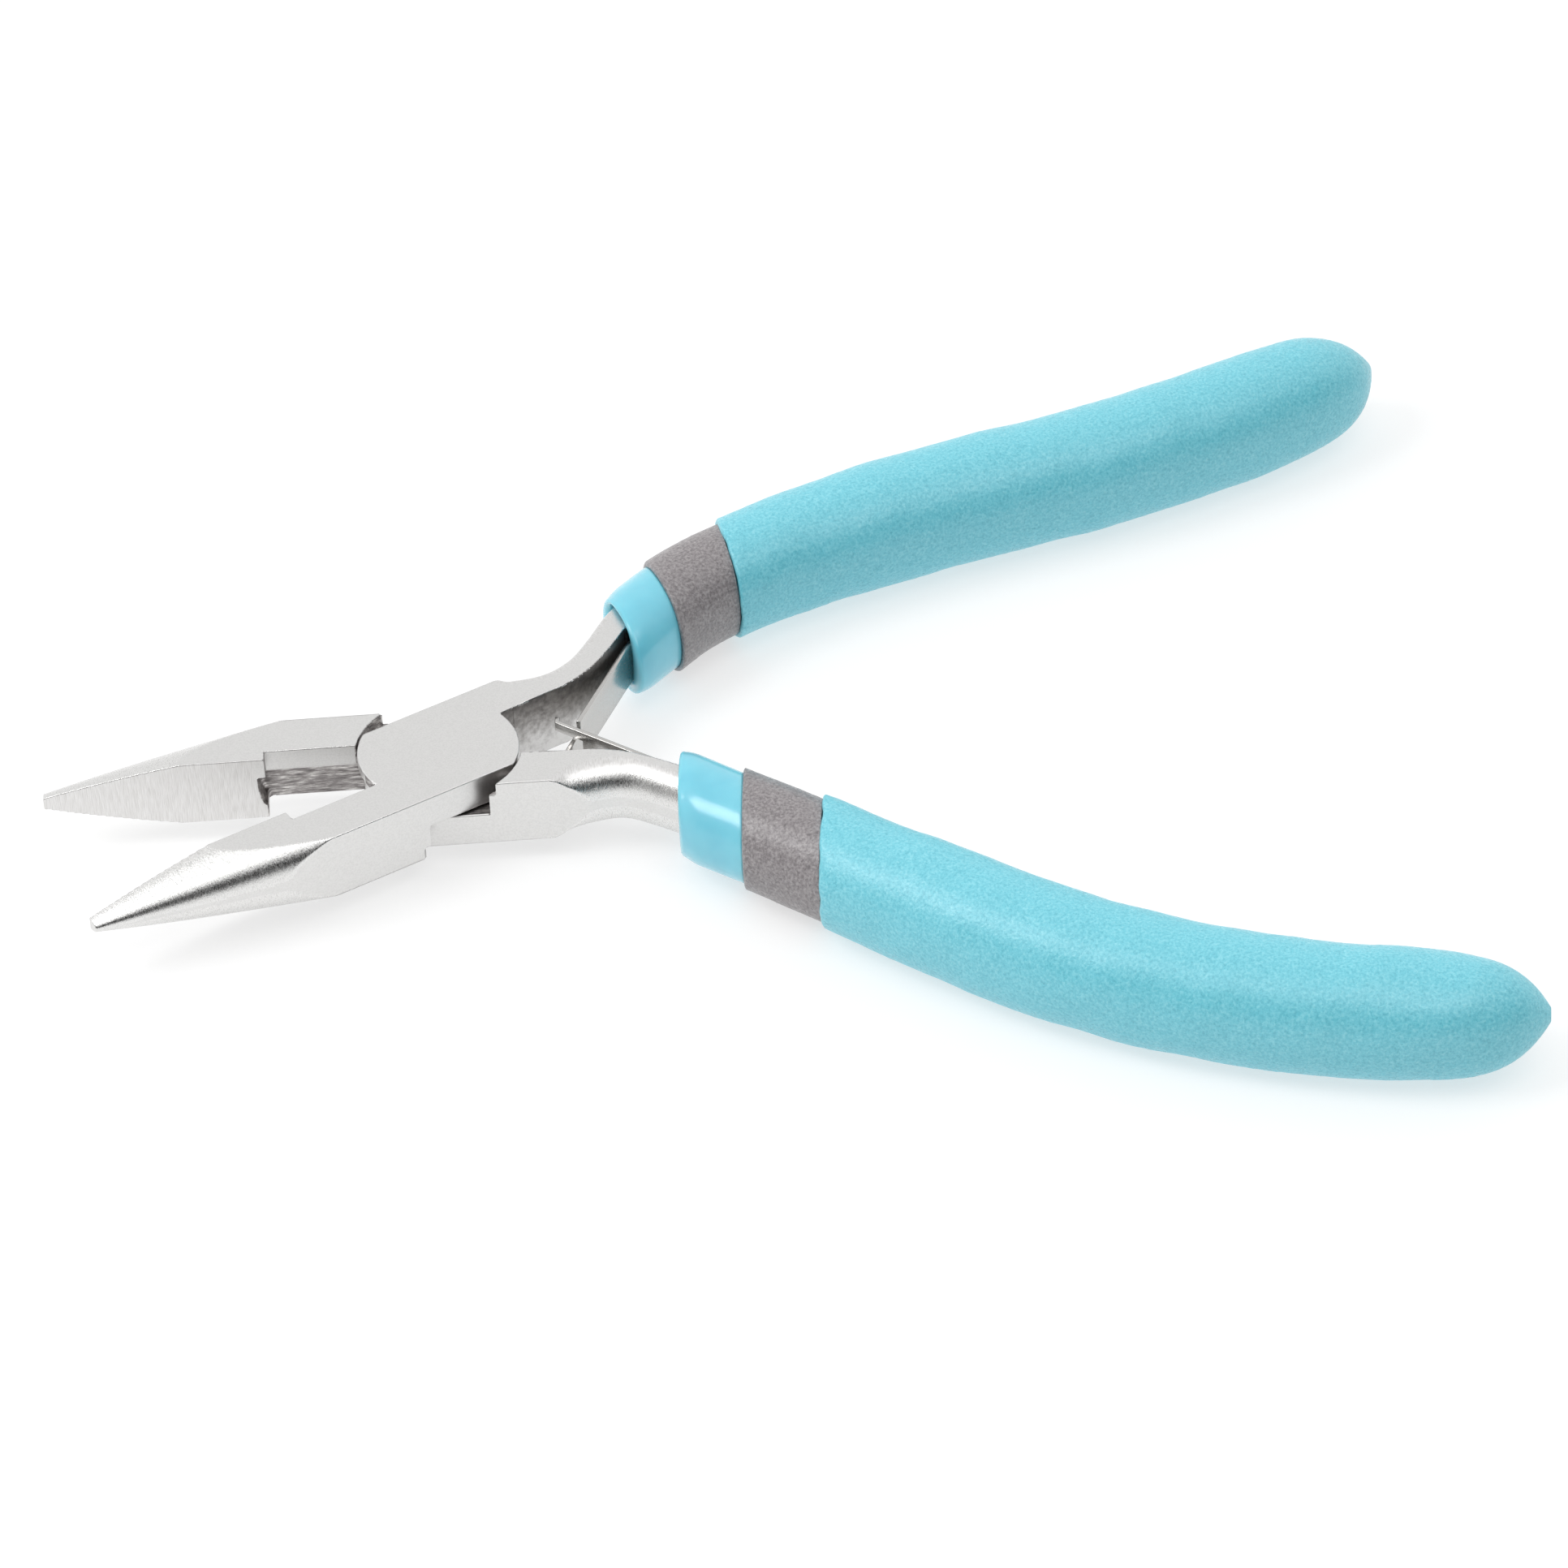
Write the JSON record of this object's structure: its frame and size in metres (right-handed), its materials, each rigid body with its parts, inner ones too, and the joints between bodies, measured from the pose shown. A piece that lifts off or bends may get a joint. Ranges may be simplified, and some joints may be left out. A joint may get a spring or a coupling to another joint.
{
  "type": "flat nose pliers",
  "caption": "Flat nose jewellery pliers with a riveted lap joint, crossing leaf springs and soft foam grips on bent handles.",
  "frame": {"origin": "the pivot axis at the joint's flat underside", "axes": "+X from the pivot towards the handles, +Z along the pivot axis towards the joint's top face, +Y towards the handle of the upper half"},
  "size_m": [0.1401, 0.1029, 0.0117],
  "materials": {
    "satin_steel": "satin ground, polished on the rounded flanks",
    "spring_steel": "bright rolled strip",
    "gloss_vinyl": "gloss, slightly translucent",
    "grey_foam": "fine-grained matte foam",
    "turquoise_foam": "fine-grained matte foam"
  },
  "bodies": {
    "upper_half": {"steel_half_upper": "satin_steel", "pivot_rivet": "satin_steel", "spring_rivet_upper": "spring_steel", "handle_sleeve_upper": "gloss_vinyl", "foam_band_upper": "grey_foam", "foam_grip_upper": "turquoise_foam"},
    "lower_half": {"steel_half_lower": "satin_steel", "spring_rivet_lower": "spring_steel", "handle_sleeve_lower": "gloss_vinyl", "foam_band_lower": "grey_foam", "foam_grip_lower": "turquoise_foam"},
    "upper_leaf": {"leaf_spring_upper": "spring_steel"},
    "lower_leaf": {"leaf_spring_lower": "spring_steel"}
  },
  "joints": [
    {"name": "handle_pivot", "type": "hinge", "parent": "upper_half", "child": "lower_half", "pos_m": [0, 0, 0.00345], "axis": [0, 0, 1], "range_deg": [-6, 28.4], "stiffness_Nm_per_rad": 1.2},
    {"name": "upper_leaf_bend", "type": "hinge", "parent": "upper_half", "child": "upper_leaf", "pos_m": [0.02102, 0.00986, 0.00345], "axis": [0, 0, 1], "range_deg": [-17.6, 3.8], "deforming": ["leaf_spring_upper"]},
    {"name": "lower_leaf_bend", "type": "hinge", "parent": "lower_half", "child": "lower_leaf", "pos_m": [0.02102, -0.00986, 0.00345], "axis": [0, 0, 1], "range_deg": [-3.8, 17.6], "deforming": ["leaf_spring_lower"]}
  ],
  "couplings": [
    {"joint": "upper_leaf_bend", "follows": "handle_pivot", "ratio": -0.616},
    {"joint": "lower_leaf_bend", "follows": "handle_pivot", "ratio": 0.616}
  ]
}
